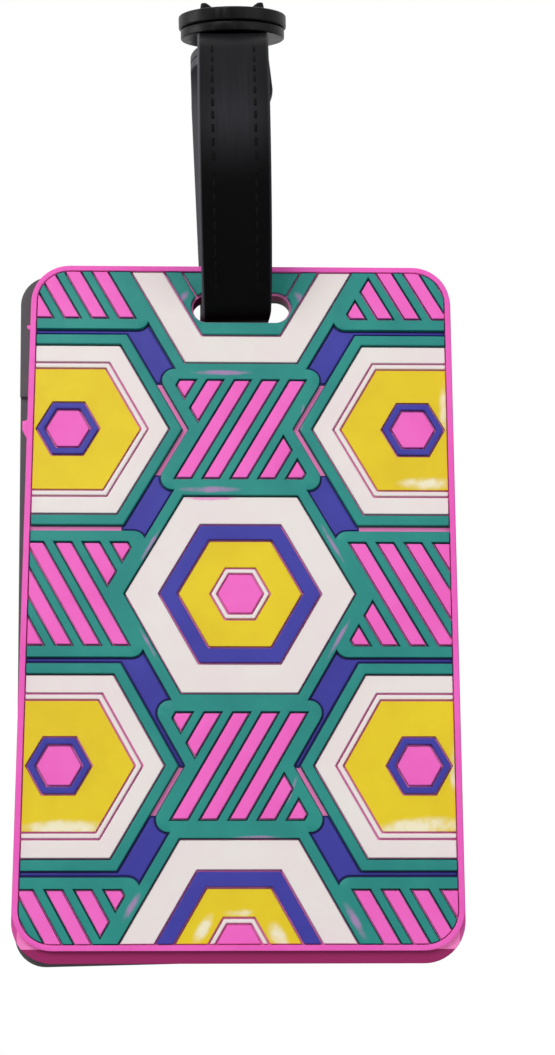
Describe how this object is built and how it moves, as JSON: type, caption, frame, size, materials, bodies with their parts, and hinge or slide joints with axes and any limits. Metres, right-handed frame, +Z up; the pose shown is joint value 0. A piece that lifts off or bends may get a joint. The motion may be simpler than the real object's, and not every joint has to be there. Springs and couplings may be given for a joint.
{
  "type": "luggage tag",
  "caption": "Soft moulded luggage tag with a raised hexagon pattern, a card pocket behind and a strap loop closed by a round twist button.",
  "frame": {"origin": "hanging point: the middle of the button stud's underside, at the top of the inside of the strap loop", "axes": "+Z up along the hanging tag, -Y the way the decorated face looks, +X to the right of the decorated face"},
  "size_m": [0.0669, 0.0267, 0.147],
  "materials": {
    "pink_pvc": "soft moulded PVC, satin",
    "teal_pvc": "soft moulded PVC, satin",
    "white_pvc": "soft moulded PVC, satin",
    "yellow_pvc": "soft moulded PVC, satin",
    "navy_pvc": "soft moulded PVC, satin",
    "grey_pvc": "soft moulded PVC, fine matt grain",
    "clear_film": "clear glossy film",
    "card": "uncoated card",
    "black_pvc": "semi-gloss moulded PVC with embossed dashes",
    "black_abs": "moulded plastic, semi-gloss"
  },
  "bodies": {
    "strap": {"strap": "black_pvc", "button_stud": "black_abs", "button_socket": "black_abs"},
    "tag": {"front_panel": "pink_pvc", "teal_lattice": "teal_pvc", "teal_slot_ring": "teal_pvc", "teal_slot_field": "teal_pvc", "teal_side_borders": "teal_pvc", "white_ring_top": "white_pvc", "white_ring_centre": "white_pvc", "white_ring_bottom": "white_pvc", "white_side_rings": "white_pvc", "white_line_centre": "white_pvc", "white_line_bottom": "white_pvc", "white_side_lines": "white_pvc", "yellow_field_centre": "yellow_pvc", "yellow_field_bottom": "yellow_pvc", "yellow_side_fields": "yellow_pvc", "navy_ring_centre": "navy_pvc", "navy_ring_bottom": "navy_pvc", "navy_side_rings": "navy_pvc", "navy_channels_top": "navy_pvc", "navy_fields_upper": "navy_pvc", "navy_channels_lower": "navy_pvc", "navy_channels_bottom": "navy_pvc", "pink_hexagon_centre": "pink_pvc", "pink_hexagon_bottom": "pink_pvc", "pink_side_hexagons": "pink_pvc", "bars_top_corners": "pink_pvc", "bars_upper_centre": "pink_pvc", "bars_middle_sides": "pink_pvc", "bars_lower_centre": "pink_pvc", "bars_bottom_corners": "pink_pvc", "back_panel": "grey_pvc", "window_film": "clear_film"},
    "card": {"id_card": "card"},
    "cap": {"button_cap": "black_abs"}
  },
  "joints": [
    {"name": "tag_swing", "type": "hinge", "parent": "strap", "child": "tag", "pos_m": [0, 0.00649, -0.03371], "axis": [1, 0, 0], "range_deg": [-40, 80]},
    {"name": "card_slide", "type": "slide", "parent": "tag", "child": "card", "axis": [-1, 0, -0.0017], "range_m": [0, 0.06]},
    {"name": "cap_twist", "type": "hinge", "parent": "strap", "child": "cap", "pos_m": [0, 0, 0], "axis": [0, -0.3173, 0.9483], "range_deg": [0, 90]}
  ]
}
